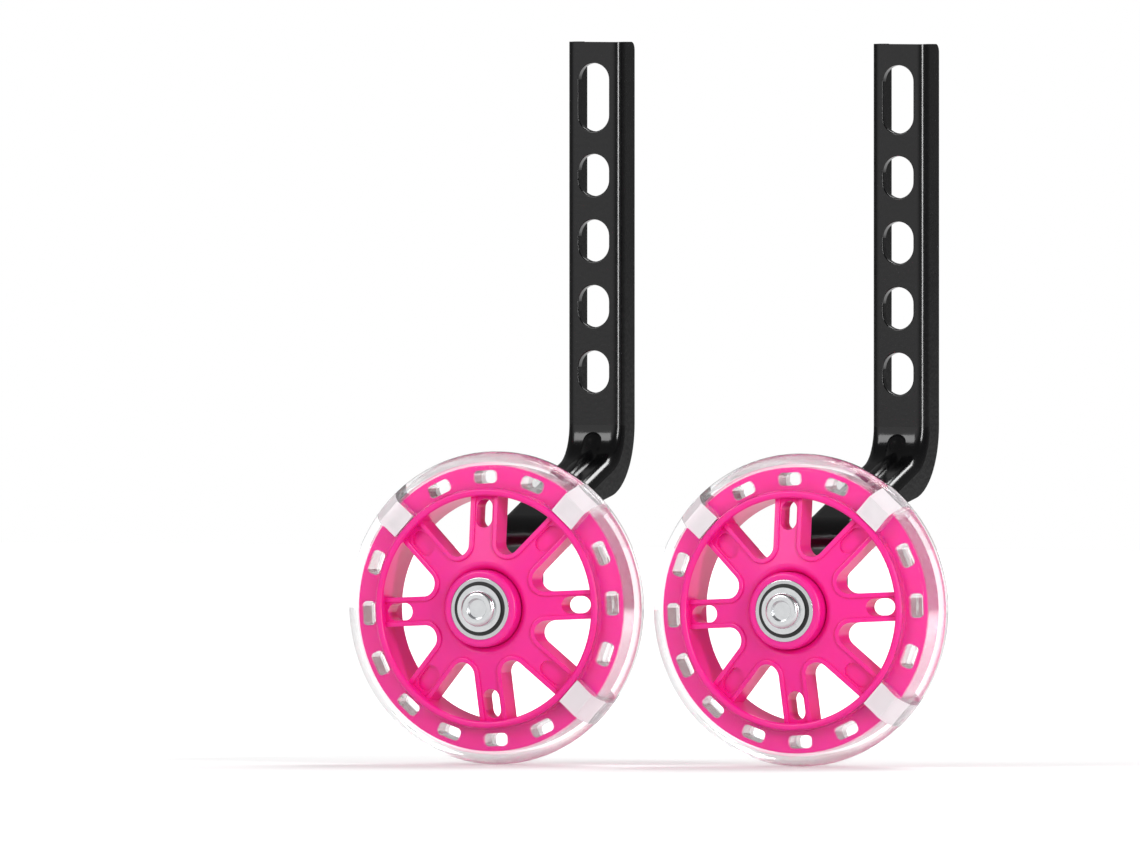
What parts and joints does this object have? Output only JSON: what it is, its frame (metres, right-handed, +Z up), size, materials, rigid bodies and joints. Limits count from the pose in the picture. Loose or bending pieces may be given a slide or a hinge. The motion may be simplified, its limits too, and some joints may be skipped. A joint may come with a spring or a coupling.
{
  "type": "bicycle training wheels",
  "caption": "Pair of bicycle training wheels: slotted black channel arms carry pink spoked wheels with clear tyres and light blocks, on ball bearings.",
  "frame": {"origin": "middle of the left arm's four short slots, on the front face of its web", "axes": "+Z up along the arm, +Y from the wheel towards the bicycle along the wheel's axle, +X from the left unit to the right one"},
  "size_m": [0.2256, 0.1198, 0.2522],
  "materials": {
    "arm_black_paint": "gloss",
    "core_pink_plastic": "gloss",
    "tyre_clear_polyurethane": "gloss",
    "lens_clear_plastic": "gloss",
    "board_white": "satin",
    "plated_steel": "bright zinc plate",
    "bearing_steel": "ground",
    "seal_black_rubber": "matt",
    "cage_nylon": "satin"
  },
  "bodies": {
    "frame": {"left_arm": "arm_black_paint", "left_axle_bolt": "plated_steel", "left_head_washer": "plated_steel", "left_bearing_spacer": "plated_steel", "left_axle_collar": "plated_steel", "left_spring_washer": "plated_steel", "left_axle_nut": "plated_steel", "left_front_inner_race": "bearing_steel", "left_rear_inner_race": "bearing_steel", "right_arm": "arm_black_paint", "right_axle_bolt": "plated_steel", "right_head_washer": "plated_steel", "right_bearing_spacer": "plated_steel", "right_axle_collar": "plated_steel", "right_spring_washer": "plated_steel", "right_axle_nut": "plated_steel", "right_front_inner_race": "bearing_steel", "right_rear_inner_race": "bearing_steel"},
    "left_wheel": {"left_wheel_core": "core_pink_plastic", "left_tyre": "tyre_clear_polyurethane", "left_front_outer_race": "bearing_steel", "left_rear_outer_race": "bearing_steel", "left_front_seals": "seal_black_rubber", "left_rear_seals": "seal_black_rubber", "left_light_lens_1": "lens_clear_plastic", "left_light_lens_2": "lens_clear_plastic", "left_light_lens_3": "lens_clear_plastic", "left_light_board_1": "board_white", "left_light_board_2": "board_white", "left_light_board_3": "board_white"},
    "left_ball_sets": {"left_front_balls": "bearing_steel", "left_front_cage": "cage_nylon", "left_rear_balls": "bearing_steel", "left_rear_cage": "cage_nylon"},
    "right_wheel": {"right_wheel_core": "core_pink_plastic", "right_tyre": "tyre_clear_polyurethane", "right_front_outer_race": "bearing_steel", "right_rear_outer_race": "bearing_steel", "right_front_seals": "seal_black_rubber", "right_rear_seals": "seal_black_rubber", "right_light_lens_1": "lens_clear_plastic", "right_light_lens_2": "lens_clear_plastic", "right_light_lens_3": "lens_clear_plastic", "right_light_board_1": "board_white", "right_light_board_2": "board_white", "right_light_board_3": "board_white"},
    "right_ball_sets": {"right_front_balls": "bearing_steel", "right_front_cage": "cage_nylon", "right_rear_balls": "bearing_steel", "right_rear_cage": "cage_nylon"}
  },
  "joints": [
    {"name": "left_wheel_spin", "type": "hinge", "parent": "frame", "child": "left_wheel", "pos_m": [0, -0.0888, -0.116], "axis": [0, 1, 0], "continuous": true},
    {"name": "left_cage_spin", "type": "hinge", "parent": "frame", "child": "left_ball_sets", "pos_m": [0, -0.0888, -0.116], "axis": [0, 1, 0], "continuous": true},
    {"name": "right_wheel_spin", "type": "hinge", "parent": "frame", "child": "right_wheel", "pos_m": [0.1156, -0.0888, -0.116], "axis": [0, 1, 0], "continuous": true},
    {"name": "right_cage_spin", "type": "hinge", "parent": "frame", "child": "right_ball_sets", "pos_m": [0.1156, -0.0888, -0.116], "axis": [0, 1, 0], "continuous": true}
  ],
  "couplings": [
    {"joint": "left_cage_spin", "follows": "left_wheel_spin", "ratio": 0.6323},
    {"joint": "right_cage_spin", "follows": "right_wheel_spin", "ratio": 0.6323}
  ]
}
